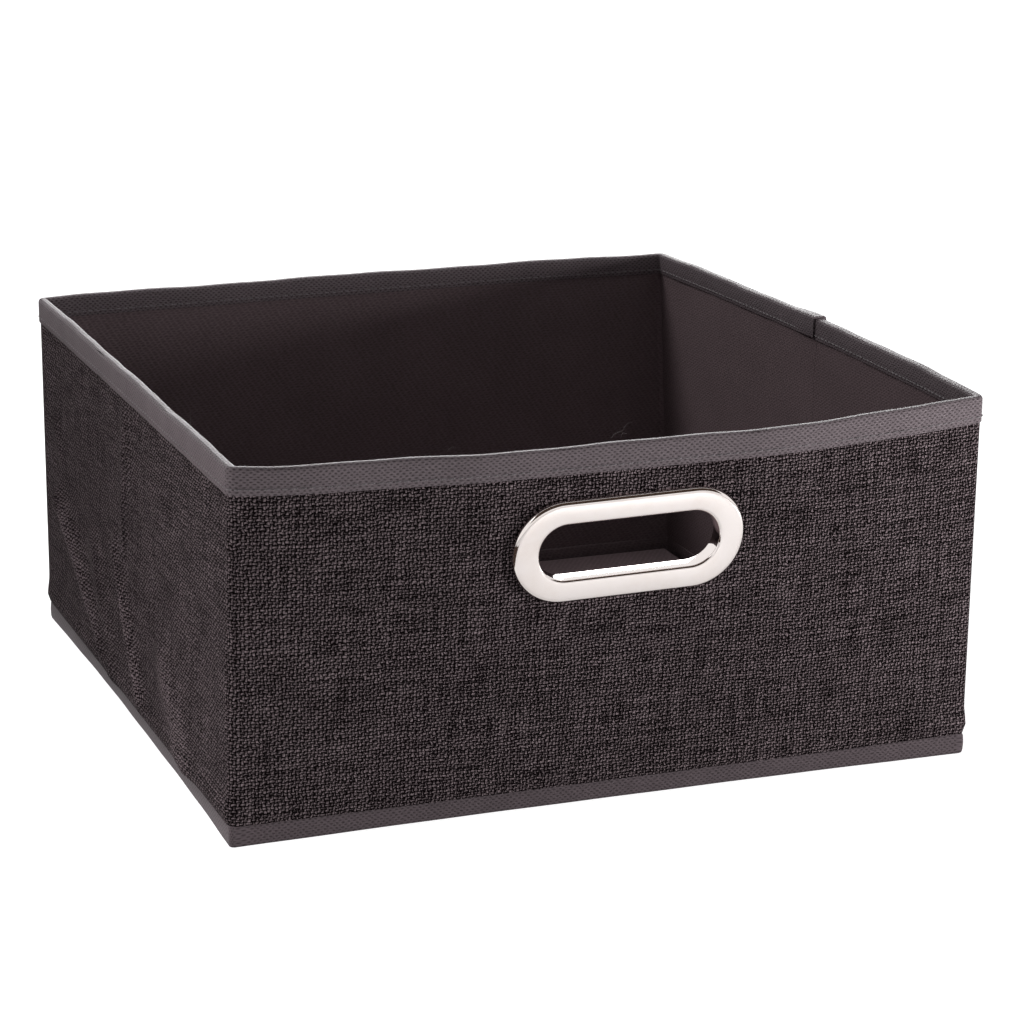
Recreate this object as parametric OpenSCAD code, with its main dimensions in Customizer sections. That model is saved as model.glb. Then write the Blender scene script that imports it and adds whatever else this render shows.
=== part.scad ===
// Open-topped folding storage box: greyboard walls sewn between an outer cloth and a lining,
// bound with tape at the rim and at the base, with an oval metal grommet as its pull.
// The side walls fold inward at a centre crease, so that the front wall closes on the back wall.
// Millimetres, +Z up. The origin is the centre of the base; the grommet is on the -Y side.

/* [Box] */
// Outer width at the base, along X
box_w = 310; // [240:1:400]
// Outer depth at the base, along Y
box_d = 310; // [240:1:400]
// Height over the rim tape
box_h = 150; // [120:1:320]
// Radius of the upright outer corners
corner_r = 3; // [1:0.1:3]
// How far the front wall bows out at the middle of the rim
front_bow = 20; // [4:0.5:26]
// How far the back wall bows out at the middle of the rim
back_bow = 4.5; // [1:0.5:14]
// Power of the curve from the bow down to a corner
bow_curve = 1.6; // [1.4:0.1:2.4]

/* [Layers] */
// Thickness of the outer cloth
cover_t = 0.8; // [0.5:0.1:1.2]
// Thickness of the greyboard in the walls
board_t = 1.6; // [1.2:0.1:3]
// Thickness of the lining
lining_t = 0.6; // [0.4:0.1:1.2]

/* [Binding] */
// Thickness of the binding tape
tape_t = 0.5; // [0.3:0.1:0.9]
// How far the rim tape reaches down each face of a wall
rim_tape_h = 11; // [7:0.5:16]
// Height of the bound edge round the base
bind_h = 9; // [6:0.5:14]
// How far the bound edge is set in from the wall above it
bind_inset = 1; // [0.5:0.1:3]
// Thickness of the folded tape on the bound edge
bind_t = 0.8; // [0.4:0.1:1.2]
// Thickness of the base cloth
base_cloth_t = 0.8; // [0.5:0.1:1.2]

/* [Folding] */
// Clearance between two faces that come together in the fold
fold_gap = 0.3; // [0.2:0.05:0.6]
// Gap between the two halves of a side wall at the centre crease
crease_gap = 0.6; // [0.4:0.1:1.5]
// Clearance between the bound edge and the walls above it
wall_lift = 0.3; // [0.2:0.1:1]

/* [Base insert] */
// Thickness of the board inside the loose base insert
insert_board_t = 2; // [1.5:0.1:4]
// Thickness of the cloth round the insert board
insert_cloth_t = 0.7; // [0.4:0.1:1.2]
// Clearance between the insert and the bound edge, on each side
insert_gap = 2; // [1:0.5:6]
// Corner radius of the insert
insert_r = 4; // [3:0.5:12]

/* [Grommet handle] */
// Length of the grommet, along X
grommet_w = 94.5; // [80:0.5:110]
// Height of the grommet, along the wall
grommet_h = 41.5; // [38:0.5:50]
// Width of its flange above and below the hand hole
flange_w = 9.3; // [6:0.1:11]
// Width of its flange at each end of the hand hole
flange_end_w = 10.5; // [7:0.1:12]
// How far the flange stands out of the cloth
flange_proud = 3; // [2.6:0.1:6]
// Radius of the flange's outer edge
flange_outer_r = 2; // [1.5:0.1:2.6]
// Radius where the flange turns into the hand hole
flange_inner_r = 1.3; // [1.3:0.1:2.4]
// Thickness of the grommet's metal
metal_t = 1; // [0.6:0.1:1.2]
// Width of the flange of the ring on the inside
back_flange_w = 6; // [4:0.5:8]
// Thickness of the ring on the inside
back_ring_t = 1; // [0.8:0.1:3]
// Distance from the rim down to the middle of the grommet
grommet_drop = 41.3; // [36:0.1:55]
// Clearance between the grommet's barrel and the slot in the wall
slot_gap = 0.3; // [0.1:0.1:1]
// Flat stretch of the front wall beyond each end of the grommet
flat_margin = 1; // [0.5:0.5:6]

/* [Hidden] */

$fn = 64;
bow_steps = 9;          // facets on each curved half of a bowed wall
wall_bands = 3;         // bands of facets up a bowed wall, below the rim tape
eps = 1;                // overrun of a cutting solid

half_w = box_w / 2;
half_d = box_d / 2;
wall_t = cover_t + board_t + lining_t;
rim_in = wall_t + tape_t;                     // from the cloth's outer face to the tape's inner face
outer_r = min(corner_r, wall_t);
wall_z0 = bind_h + wall_lift;                 // lower edge of every wall
wall_z1 = box_h - tape_t;                     // upper edge of the cloth, under the tape
tape_z0 = box_h - rim_tape_h;
side_x = half_w - rim_in;                     // inner face of a side wall's tape
side_end = half_d - rim_in - fold_gap;        // end of a side wall, just clear of the front or back
flat_half = grommet_w / 2 + flat_margin;

// Rows of the bowed walls' facets. The tape's lower edge is one of them, so that the layers match.
wall_rows = concat(
    [for (i = [0:wall_bands]) wall_z0 + (tape_z0 - wall_z0) * i / wall_bands],
    [wall_z1]
);

grommet_z = box_h - grommet_drop;
grommet_straight = grommet_w - grommet_h;
grommet_tilt = atan(front_bow / box_h);
hole_r = grommet_h / 2 - flange_w;
hole_straight = grommet_w - 2 * flange_end_w - 2 * hole_r;
barrel_r = hole_r + metal_t;
wall_normal_t = wall_t * cos(grommet_tilt);   // the wall's thickness square to its face

bind_out_w = half_w - bind_inset;
bind_out_d = half_d - bind_inset;
bind_r = max(outer_r, bind_t + base_cloth_t + bind_t + 0.5);
insert_inset = bind_inset + 2 * bind_t + base_cloth_t + insert_gap;
insert_z0 = base_cloth_t;                     // the insert lies on the base cloth

cloth_colour = [0.20, 0.18, 0.19];
lining_colour = [0.36, 0.33, 0.31];
tape_colour = [0.25, 0.23, 0.24];
board_colour = [0.62, 0.58, 0.52];
metal_colour = [0.82, 0.80, 0.77];

// How much of its bow a wall has at x: all of it across the grommet, then a curve down to none.
function bow_share(x) =
    let (run = max(0, min(1, (abs(x) - flat_half) / (side_x - flat_half))))
    1 - pow(run, bow_curve);

// Columns of the facets, from one end of a wall to the other
function bow_columns(half) = concat(
    [-half],
    [for (i = [0:bow_steps]) -side_x + (side_x - flat_half) * i / bow_steps],
    [for (i = [0:bow_steps]) flat_half + (side_x - flat_half) * i / bow_steps],
    [half]
);

// A sheet between two distances out from the box's centre plane, leaning out as it rises
module bowed_sheet(out, inner, half, rows, bow) {
    cols = bow_columns(half);
    nc = len(cols);
    nr = len(rows);
    function at(layer, r, c) = (layer * nr + r) * nc + c;
    points = [
        for (face = [out, inner])
            for (z = rows)
                for (x = cols)
                    [x, -(face + bow * bow_share(x) * z / box_h), z]
    ];
    cells = [for (r = [0:nr - 2]) for (c = [0:nc - 2]) [r, c]];
    outer_faces = [
        for (k = cells)
            for (t = [[[0, 0], [1, 0], [1, 1]], [[0, 0], [1, 1], [0, 1]]])
                [for (p = t) at(0, k[0] + p[0], k[1] + p[1])]
    ];
    inner_faces = [
        for (k = cells)
            for (t = [[[0, 0], [1, 1], [1, 0]], [[0, 0], [0, 1], [1, 1]]])
                [for (p = t) at(1, k[0] + p[0], k[1] + p[1])]
    ];
    top = nr - 1;
    end = nc - 1;
    top_faces = [for (c = [0:nc - 2]) [at(0, top, c), at(1, top, c), at(1, top, c + 1), at(0, top, c + 1)]];
    low_faces = [for (c = [0:nc - 2]) [at(0, 0, c + 1), at(1, 0, c + 1), at(1, 0, c), at(0, 0, c)]];
    left_faces = [for (r = [0:nr - 2]) [at(1, r, 0), at(1, r + 1, 0), at(0, r + 1, 0), at(0, r, 0)]];
    right_faces = [for (r = [0:nr - 2]) [at(0, r, end), at(0, r + 1, end), at(1, r + 1, end), at(1, r, end)]];
    polyhedron(
        points = points,
        faces = concat(outer_faces, inner_faces, top_faces, low_faces, left_faces, right_faces)
    );
}

// What is cut off to round the two upright corners of a front or back wall
module corner_relief(half, out, r) {
    for (s = [-1, 1])
        translate([s * (half - r), -(out - r), -eps])
            linear_extrude(box_h + 2 * eps)
                difference() {
                    translate([s > 0 ? 0 : -(r + eps), -(r + eps)])
                        square(r + eps);
                    circle(r);
                }
}

// A stretch of wall with rounded corners, from `skin` inside the cloth's outer face inward
module bowed_wall(skin, depth, rows, bow, from = 0) {
    difference() {
        bowed_sheet(half_d - skin - from, half_d - skin - depth, half_w - skin, rows, bow);
        corner_relief(half_w - skin, half_d - skin, outer_r - skin);
    }
}

module stadium(r, straight) {
    square([straight, 2 * r], center = true);
    for (s = [-1, 1])
        translate([s * straight / 2, 0])
            circle(r);
}

// The grommet's own frame: its X along the wall, its Y up the wall and its Z out of it
module on_grommet() {
    translate([0, -(half_d + front_bow * grommet_z / box_h), grommet_z])
        rotate([90 + grommet_tilt, 0, 0])
            children();
}

module hand_slot() {
    on_grommet()
        translate([0, 0, -2 * wall_t - eps])
            linear_extrude(3 * wall_t + 2 * eps)
                stadium(barrel_r + slot_gap, hole_straight);
}

// Layers of the front and back walls. The cloth turns round both ends of the board.
module end_cover(bow) {
    color(cloth_colour)
        difference() {
            bowed_wall(0, wall_t, wall_rows, bow);
            bowed_sheet_inside(concat([wall_z0 - eps], wall_rows, [wall_z1 + eps]), bow);
        }
}

module bowed_sheet_inside(rows, bow) {
    bowed_wall(cover_t, board_t + lining_t + eps, rows, bow);
}

module end_board(bow) {
    color(board_colour)
        bowed_wall(cover_t, board_t, wall_rows, bow);
}

module end_lining(bow) {
    color(lining_colour)
        bowed_wall(cover_t, board_t + lining_t, wall_rows, bow, board_t);
}

module end_rim_tape(bow) {
    color(tape_colour)
        difference() {
            difference() {
                bowed_sheet(half_d + tape_t, half_d - rim_in, half_w + tape_t, [tape_z0, wall_z1, box_h], bow);
                corner_relief(half_w + tape_t, half_d + tape_t, outer_r + tape_t);
            }
            bowed_wall(0, wall_t, [tape_z0 - eps, tape_z0, wall_z1], bow);
        }
}

module front_cover() {
    difference() {
        end_cover(front_bow);
        hand_slot();
    }
}

module front_board() {
    difference() {
        end_board(front_bow);
        hand_slot();
    }
}

module front_lining() {
    difference() {
        end_lining(front_bow);
        hand_slot();
    }
}

module front_rim_tape() {
    end_rim_tape(front_bow);
}

module back_cover() {
    rotate([0, 0, 180])
        end_cover(back_bow);
}

module back_board() {
    rotate([0, 0, 180])
        end_board(back_bow);
}

module back_lining() {
    rotate([0, 0, 180])
        end_lining(back_bow);
}

module back_rim_tape() {
    rotate([0, 0, 180])
        end_rim_tape(back_bow);
}

// Puts a half of the left wall, drawn with its crease end at y = 0 and running to +Y, in its place
module half_wall(right, front) {
    mirror([right ? 1 : 0, 0, 0])
        mirror([0, front ? 1 : 0, 0])
            translate([-half_w, crease_gap / 2, 0])
                children();
}

half_len = side_end - crease_gap / 2;

module side_layer(depth, thickness) {
    translate([depth, 0, wall_z0])
        cube([thickness, half_len, wall_z1 - wall_z0]);
}

module side_cover(right, front) {
    color(cloth_colour)
        half_wall(right, front)
            side_layer(0, cover_t);
}

module side_board(right, front) {
    color(board_colour)
        half_wall(right, front)
            side_layer(cover_t, board_t);
}

module side_lining(right, front) {
    color(lining_colour)
        half_wall(right, front)
            side_layer(cover_t + board_t, lining_t);
}

// The tape is one strip folded over the upper edge
module side_rim_tape(right, front) {
    color(tape_colour)
        half_wall(right, front)
            difference() {
                translate([-tape_t, 0, tape_z0])
                    cube([wall_t + 2 * tape_t, half_len, rim_tape_h]);
                translate([0, -eps, tape_z0 - eps])
                    cube([wall_t, half_len + 2 * eps, rim_tape_h + eps - tape_t]);
            }
}

// Rounded rectangle about the origin, `inset` inside the outer face of the bound edge
module base_outline(inset) {
    w = 2 * (bind_out_w - inset);
    d = 2 * (bind_out_d - inset);
    r = bind_r - inset;
    square([w - 2 * r, d], center = true);
    square([w, d - 2 * r], center = true);
    for (sx = [-1, 1], sy = [-1, 1])
        translate([sx * (w / 2 - r), sy * (d / 2 - r)])
            circle(r);
}

// The base cloth lies on the floor and turns up into the bound edge
module base_cloth() {
    color(cloth_colour)
        difference() {
            linear_extrude(bind_h - bind_t)
                base_outline(bind_t);
            translate([0, 0, base_cloth_t])
                linear_extrude(bind_h)
                    base_outline(bind_t + base_cloth_t);
        }
}

// The tape folded over the upturned edge of the base cloth, all the way round
module bound_edge() {
    difference() {
        linear_extrude(bind_h)
            base_outline(0);
        translate([0, 0, -eps])
            linear_extrude(base_cloth_t + eps)
                base_outline(bind_t);
        translate([0, 0, -eps])
            linear_extrude(bind_h + 2 * eps)
                base_outline(2 * bind_t + base_cloth_t);
        linear_extrude(bind_h - bind_t)
            difference() {
                base_outline(bind_t);
                base_outline(bind_t + base_cloth_t);
            }
    }
}

// One side of the bound edge, mitred at the corners. Turn 0 is the front, then the right.
module base_binding(turn) {
    across = turn % 2 == 0 ? half_w : half_d;
    away = turn % 2 == 0 ? half_d : half_w;
    color(tape_colour)
        intersection() {
            bound_edge();
            rotate([0, 0, 90 * turn])
                linear_extrude(bind_h)
                    polygon([[0, 0], [-2 * across, -2 * away], [2 * across, -2 * away]]);
        }
}

module insert_blank(inset) {
    w = 2 * (half_w - insert_inset - inset);
    d = 2 * (half_d - insert_inset - inset);
    r = insert_r - inset;
    translate([0, 0, insert_z0 + inset])
        linear_extrude(insert_board_t + 2 * (insert_cloth_t - inset)) {
            square([w - 2 * r, d], center = true);
            square([w, d - 2 * r], center = true);
            for (sx = [-1, 1], sy = [-1, 1])
                translate([sx * (w / 2 - r), sy * (d / 2 - r)])
                    circle(r);
        }
}

module insert_board() {
    color(board_colour)
        insert_blank(insert_cloth_t);
}

module insert_cover() {
    color(lining_colour)
        difference() {
            insert_blank(0);
            insert_blank(insert_cloth_t);
        }
}

// Cuts the outer upper corner of a section to radius r, about the corner at (x, y)
module section_corner(x, y, r, side) {
    translate([x - side * r, y - r])
        difference() {
            translate([side > 0 ? 0 : -(r + eps), 0])
                square(r + eps);
            circle(r);
        }
}

// Section of one edge of the flange, which turns down to radius r and runs on to `foot`
module rolled_edge(edge, r, side, foot) {
    translate([side > 0 ? edge - metal_t : edge, foot])
        square([metal_t, flange_proud - r - foot]);
    translate([edge - side * r, flange_proud - r])
        intersection() {
            difference() {
                circle(r);
                circle(r - metal_t);
            }
            translate([side > 0 ? 0 : -r, 0])
                square(r);
        }
}

// Carries a half section round an oval: two half turns and two straights
module round_oval(straight) {
    for (s = [-1, 1]) {
        translate([s * straight / 2, 0, 0])
            rotate([0, 0, -90 * s])
                rotate_extrude(angle = 180)
                    children();
        mirror([0, s > 0 ? 0 : 1, 0])
            translate([-straight / 2, 0, 0])
                rotate([90, 0, 90])
                    linear_extrude(straight)
                        children();
    }
}

// The outer ring is a pressed channel: a flat face, an outer edge that turns down to the cloth,
// and an inner edge that runs on through the wall as a barrel
module handle_front_ring() {
    outer = grommet_h / 2;
    color(metal_colour)
        on_grommet() {
            round_oval(grommet_straight)
                rolled_edge(outer, flange_outer_r, 1, 0);
            round_oval(hole_straight)
                rolled_edge(hole_r, flange_inner_r, -1, -(wall_normal_t + back_ring_t));
            translate([0, 0, flange_proud - metal_t])
                linear_extrude(metal_t)
                    difference() {
                        stadium(outer - flange_outer_r, grommet_straight);
                        stadium(hole_r + flange_inner_r, hole_straight);
                    }
        }
}

// The inner ring is pressed over the end of the barrel, against the lining
module handle_back_ring() {
    color(metal_colour)
        on_grommet()
            translate([0, 0, -wall_normal_t])
                mirror([0, 0, 1])
                    round_oval(hole_straight)
                        difference() {
                            translate([barrel_r, 0])
                                square([back_flange_w, back_ring_t]);
                            section_corner(barrel_r + back_flange_w, back_ring_t, back_ring_t / 2, 1);
                        }
}

back_board();
back_cover();
back_lining();
back_rim_tape();
side_board(false, false);  // left_rear_board
side_cover(false, false);  // left_rear_cover
side_lining(false, false);  // left_rear_lining
side_rim_tape(false, false);  // left_rear_rim_tape
side_board(false, true);  // left_front_board
side_cover(false, true);  // left_front_cover
side_lining(false, true);  // left_front_lining
side_rim_tape(false, true);  // left_front_rim_tape
side_board(true, false);  // right_rear_board
side_cover(true, false);  // right_rear_cover
side_lining(true, false);  // right_rear_lining
side_rim_tape(true, false);  // right_rear_rim_tape
side_board(true, true);  // right_front_board
side_cover(true, true);  // right_front_cover
side_lining(true, true);  // right_front_lining
side_rim_tape(true, true);  // right_front_rim_tape
front_board();
front_cover();
front_lining();
front_rim_tape();
handle_front_ring();
handle_back_ring();
base_cloth();
base_binding(0);  // base_binding_front
base_binding(1);  // base_binding_right
base_binding(2);  // base_binding_back
base_binding(3);  // base_binding_left
insert_board();
insert_cover();
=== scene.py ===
import math

import bmesh
import bpy
import numpy as np
from mathutils import Matrix, Vector


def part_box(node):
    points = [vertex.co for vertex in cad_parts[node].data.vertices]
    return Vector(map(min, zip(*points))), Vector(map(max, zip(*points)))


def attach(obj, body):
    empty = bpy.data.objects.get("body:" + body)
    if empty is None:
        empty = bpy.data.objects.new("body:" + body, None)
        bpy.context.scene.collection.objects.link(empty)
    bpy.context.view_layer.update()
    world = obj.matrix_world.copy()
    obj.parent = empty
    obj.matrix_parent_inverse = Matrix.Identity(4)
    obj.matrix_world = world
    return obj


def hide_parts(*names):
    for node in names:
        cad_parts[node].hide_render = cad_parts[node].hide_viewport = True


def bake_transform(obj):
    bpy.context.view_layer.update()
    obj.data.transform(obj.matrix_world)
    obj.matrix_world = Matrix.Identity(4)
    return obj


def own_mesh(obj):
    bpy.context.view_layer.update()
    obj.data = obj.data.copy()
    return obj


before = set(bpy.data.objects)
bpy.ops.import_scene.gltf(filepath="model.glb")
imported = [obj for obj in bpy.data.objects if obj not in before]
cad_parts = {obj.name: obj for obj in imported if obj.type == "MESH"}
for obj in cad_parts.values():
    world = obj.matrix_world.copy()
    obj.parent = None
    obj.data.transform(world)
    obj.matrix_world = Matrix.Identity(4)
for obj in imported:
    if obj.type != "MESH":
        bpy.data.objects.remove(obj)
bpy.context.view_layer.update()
mm = 0.001

# The left cover ends this far before the back wall's outer face
sideCoverShort = 3.8 * mm

# The box as it stands: outer faces of the cloth, layers inward from there
box = {
    "halfWidth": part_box("front_cover")[1].x,
    "halfDepth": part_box("left_rear_cover")[1].y + sideCoverShort,
    "height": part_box("front_rim_tape")[1].z,
    "wallFoot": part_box("front_cover")[0].z,
    "wallHead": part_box("front_cover")[1].z,
    "corners": {"frontLeft": 4.5 * mm, "frontRight": 4 * mm, "backRight": 3 * mm, "backLeft": 3 * mm},
    "innerRadius": 0.4 * mm,
    "cloth": 0.8 * mm,
    "board": 1.6 * mm,
    "lining": 0.6 * mm,
    "tape": 0.5 * mm,
}
box["wall"] = box["cloth"] + box["board"] + box["lining"]
box["frontBow"] = -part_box("front_rim_tape")[0].y - box["halfDepth"] - box["tape"]
box["backBow"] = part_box("back_rim_tape")[1].y - box["halfDepth"] - box["tape"]

# The grommet, at the place and lean of its CAD ring
grommet = {
    "halfLength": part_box("handle_front_ring")[1].x,
    "halfHeight": 20.75 * mm,
    "flange": 9.3 * mm,
    "endFlange": 10.5 * mm,
    "proud": 3.0 * mm,
    "outerRadius": 2.0 * mm,
    "innerRadius": 1.3 * mm,
    "metal": 1.0 * mm,
    "crown": 0.12 * mm,
    "backFlange": 6 * mm,
    "backRing": 1.0 * mm,
    "drop": 41.3 * mm,
    "clothHole": 14.2 * mm,
    "turn": 0.75,  # degrees that it was pressed in out of level
    "turnSteps": 40,
}
grommet["hole"] = grommet["halfHeight"] - grommet["flange"]
grommet["holeStraight"] = grommet["halfLength"] - grommet["endFlange"] - grommet["hole"]
grommet["straight"] = grommet["halfLength"] - grommet["halfHeight"]
grommet["z"] = box["height"] - grommet["drop"]
grommet["lean"] = math.atan(box["frontBow"] / box["height"])
grommet["flatHalf"] = grommet["halfLength"] + 1 * mm


camera = {
    "sensor": 36,
    "focal": 117.52,
    "place": (-0.4596, -1.2980, 0.4634),
    "turn": -20.09,
    "tip": 74.30,
}


def setCamera():
    data = bpy.data.cameras.new("camera")
    data.sensor_width = camera["sensor"]
    data.lens = camera["focal"]
    ob = bpy.data.objects.new("camera", data)
    ob.location = camera["place"]
    ob.rotation_euler = (math.radians(camera["tip"]), 0, math.radians(camera["turn"]))
    bpy.context.scene.collection.objects.link(ob)
    bpy.context.scene.camera = ob


lamps = {
    "insideBack": {"at": (-0.6, 0.42, 1.0), "aim": (0.0, 0.0, 0.08), "size": 0.35, "power": 6.6},
    "inside": {"at": (-0.05, 0.05, 0.7), "aim": (0.05, 0, 0.05), "size": 0.3, "power": 0.4},
    "keyLow": {"at": (0.9, -0.6, 0.1), "aim": (0.1, -0.15, 0.05), "size": 0.35, "power": 15.0},
    "frontLow": {"at": (0.5, -1.3, 0.12), "aim": (0.05, -0.15, 0.04), "size": 0.6, "power": 1.6},
    "footLight": {"at": (0.1, -0.5, 0.03), "aim": (0.05, -0.15, 0.03), "size": 0.2, "power": 0.36},
    "frontTop": {"at": (0.15, -0.9, 0.9), "aim": (0.02, -0.15, 0.12), "size": 0.5, "power": 1.15},
    "leftLow": {"at": (-0.37, -0.175, 0.07), "aim": (-0.155, -0.05, 0.04), "size": 0.1, "power": 0.42},
    "leftNear": {"at": (-0.3, -0.32, 0.05), "aim": (-0.155, -0.12, 0.06), "size": 0.1, "power": 0.04},
    "leftFront": {"at": (-0.9, -0.9, 0.2), "aim": (-0.15, -0.15, 0.05), "size": 0.4, "power": 0.2},
    "rimLight": {"at": (0.85, 2.3, 0.85), "aim": (0, 0, 0.15), "size": 1.2, "power": 32.0},
    "ringSpark": {"at": (-0.85, -0.7, 1.05), "aim": (0, -0.1, 0.1), "size": 0.35, "power": 0.4},
}
# The lamps that reflections show
mirroredLamps = ("rimLight", "ringSpark")
surround = {
    "white": (1, 1, 1, 1),
    "lightStrength": 0.03,
    "floorColour": (0.6, 0.6, 0.6, 1),
    "floorLift": 0.82,
    "floorGleam": 0.47,
    "reach": 30,
}
# Dark cards that only reflections see, as a studio hangs them to give bright metal its edges
cards = {
    "colour": (0.055, 0.038, 0.030, 1),
    "leftCard": [(-1.3, -0.5, 0.001), (-0.175, -0.5, 0.001), (-0.175, 0.9, 0.001), (-1.3, 0.9, 0.001)],
    "upperCard": [(-0.8, -1.2, 0.55), (1.5, -1.2, 0.55), (1.5, -0.35, 1.3), (-0.8, -0.35, 1.3)],
}


def setLamps():
    for name, lamp in lamps.items():
        data = bpy.data.lights.new(name, "AREA")
        data.size = lamp["size"]
        data.energy = lamp["power"]
        ob = bpy.data.objects.new(name, data)
        ob.location = lamp["at"]
        ob.visible_glossy = name in mirroredLamps
        ob.rotation_euler = (Vector(lamp["aim"]) - ob.location).to_track_quat("-Z", "Y").to_euler()
        bpy.context.scene.collection.objects.link(ob)


def addNode(tree, kind, inputs=None, **settings):
    # One node with its settings, and its inputs linked or set by name or number
    node = tree.nodes.new(kind)
    for key, value in settings.items():
        setattr(node, key, value)
    for key, value in (inputs or {}).items():
        if isinstance(value, bpy.types.NodeSocket):
            tree.links.new(value, node.inputs[key])
        else:
            node.inputs[key].default_value = value
    return node


def maths(tree, operation, a, b=0.0, c=0.0, clamp=False):
    node = addNode(tree, "ShaderNodeMath", {0: a, 1: b, 2: c}, operation=operation, use_clamp=clamp)
    return node.outputs[0]


def times(tree, a, b, clamp=False):
    return maths(tree, "MULTIPLY", a, b, clamp=clamp)


def minus(tree, a, b):
    return maths(tree, "SUBTRACT", a, b)


def vectorMaths(tree, operation, a, b=(0, 0, 0), output="Vector"):
    return addNode(tree, "ShaderNodeVectorMath", {0: a, 1: b}, operation=operation).outputs[output]


def scaled(tree, vector, factor):
    return addNode(tree, "ShaderNodeVectorMath", {0: vector, "Scale": factor}, operation="SCALE").outputs[0]


def smoothRange(tree, value, low, high, toLow=0.0, toHigh=1.0):
    ends = {"From Min": low, "From Max": high, "To Min": toLow, "To Max": toHigh}
    node = addNode(tree, "ShaderNodeMapRange", {"Value": value, **ends}, interpolation_type="SMOOTHSTEP")
    return node.outputs["Result"]


def mixColours(tree, factor, a, b, blend="MIX"):
    inputs = {0: factor, 6: a, 7: b}
    return addNode(tree, "ShaderNodeMix", inputs, data_type="RGBA", blend_type=blend).outputs[2]


def shaded(tree, colour, shade):
    # The colour made lighter or darker by a shade about 1
    grey = addNode(tree, "ShaderNodeCombineColor", {0: shade, 1: shade, 2: shade}).outputs[0]
    return mixColours(tree, 1.0, colour, grey, "MULTIPLY")


def mixValues(tree, factor, a, b):
    return addNode(tree, "ShaderNodeMix", {0: factor, 2: a, 3: b}, data_type="FLOAT").outputs[0]


def noise(tree, vector, scale, detail=2.0, roughness=0.5):
    inputs = {"Vector": vector, "Scale": scale, "Detail": detail, "Roughness": roughness}
    node = addNode(tree, "ShaderNodeTexNoise", inputs)
    return node.outputs["Fac"], node.outputs["Color"]


def newGroup(name, numbers, outputs, points=()):
    # A group whose inputs are the coordinates, further points, and numbers with their usual values
    tree = bpy.data.node_groups.new(name, "ShaderNodeTree")
    for label in ("Coordinates", *points):
        tree.interface.new_socket(name=label, in_out="INPUT", socket_type="NodeSocketVector")
    for label, value in numbers.items():
        socket = tree.interface.new_socket(name=label, in_out="INPUT", socket_type="NodeSocketFloat")
        socket.default_value = value
    for label in outputs:
        tree.interface.new_socket(name=label, in_out="OUTPUT", socket_type="NodeSocketFloat")
    return tree, tree.nodes.new("NodeGroupInput").outputs, tree.nodes.new("NodeGroupOutput").inputs


def makeWeaveGroup():
    # A loose plain weave: two sets of wandering threads with painted shade in the dark holes between them,
    # each thread bright where it lies over the other set and darkened by painted shade where it dips under
    tree, given, out = newGroup(
        "linenWeave",
        {
            "Pitch Across": 0.00143,
            "Pitch Up": 0.0013,
            "Wander": 0.8,
            "Uneven": 0.5,
            "Upright Painted Shade": 0.95,
            "Under Painted Shade": 0.0,
            "Thinness": 1.0,
            "Softness": 0.4,
            "Diagonal": 0.6,
        },
        ("Yarn", "Height"),
    )
    pitch = addNode(tree, "ShaderNodeCombineXYZ", {0: given["Pitch Across"], 1: given["Pitch Up"], 2: 1.0})
    plain = vectorMaths(tree, "DIVIDE", given["Coordinates"], pitch.outputs[0])
    middle = (0.5, 0.5, 0.5)
    wide = vectorMaths(tree, "SUBTRACT", noise(tree, plain, 0.22, 0.0)[1], middle)
    fine = vectorMaths(tree, "SUBTRACT", noise(tree, plain, 0.8, 0.0)[1], middle)
    shift = vectorMaths(tree, "ADD", scaled(tree, wide, 1.4), fine)
    bent = vectorMaths(tree, "ADD", plain, scaled(tree, shift, given["Wander"]))
    split = addNode(tree, "ShaderNodeSeparateXYZ", {0: bent}).outputs
    waves = [maths(tree, "SINE", times(tree, split[axis], math.pi)) for axis in (0, 1)]
    stagger = times(tree, waves[0], waves[1])
    chance = noise(tree, vectorMaths(tree, "ADD", plain, (31.0, 17.0, 5.0)), 0.7, 1.0)[0]
    stagger = maths(tree, "MULTIPLY_ADD", minus(tree, chance, 0.5), given["Uneven"], stagger)
    uprightOver = smoothRange(tree, stagger, -0.25, 0.25)
    overs = (uprightOver, minus(tree, 1.0, uprightOver))
    lit = []
    raised = []
    for axis, stretch in ((0, (1.0, 0.05, 1.0)), (1, (0.05, 1.0, 1.0))):
        # each thread has its own thickness and tone along its run
        thread = noise(tree, vectorMaths(tree, "MULTIPLY", plain, stretch), 1.1, 1.0)[0]
        low = minus(tree, given["Thinness"], thread)
        high = maths(tree, "ADD", low, given["Softness"])
        profile = smoothRange(tree, maths(tree, "ABSOLUTE", waves[axis]), low, high)
        tone = times(tree, profile, smoothRange(tree, thread, 0.3, 0.7, 0.78, 1.2))
        # painted shade where a thread dips under the other set
        dim = times(tree, tone, given["Under Painted Shade"])
        lit.append(mixValues(tree, overs[axis], dim, tone))
        raised.append(mixValues(tree, overs[axis], times(tree, profile, 0.3), profile))
    # the upright threads get a little painted shade
    yarn = maths(tree, "MAXIMUM", times(tree, lit[0], given["Upright Painted Shade"]), lit[1])
    # floats that lie over in step with their neighbours read as slanting rows
    slant = maths(tree, "SINE", times(tree, minus(tree, split[0], split[1]), math.pi))
    yarn = times(tree, yarn, maths(tree, "MULTIPLY_ADD", slant, given["Diagonal"], 1.0))
    height = maths(tree, "MAXIMUM", raised[0], raised[1])
    tree.links.new(yarn, out["Yarn"])
    tree.links.new(height, out["Height"])
    return tree


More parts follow.
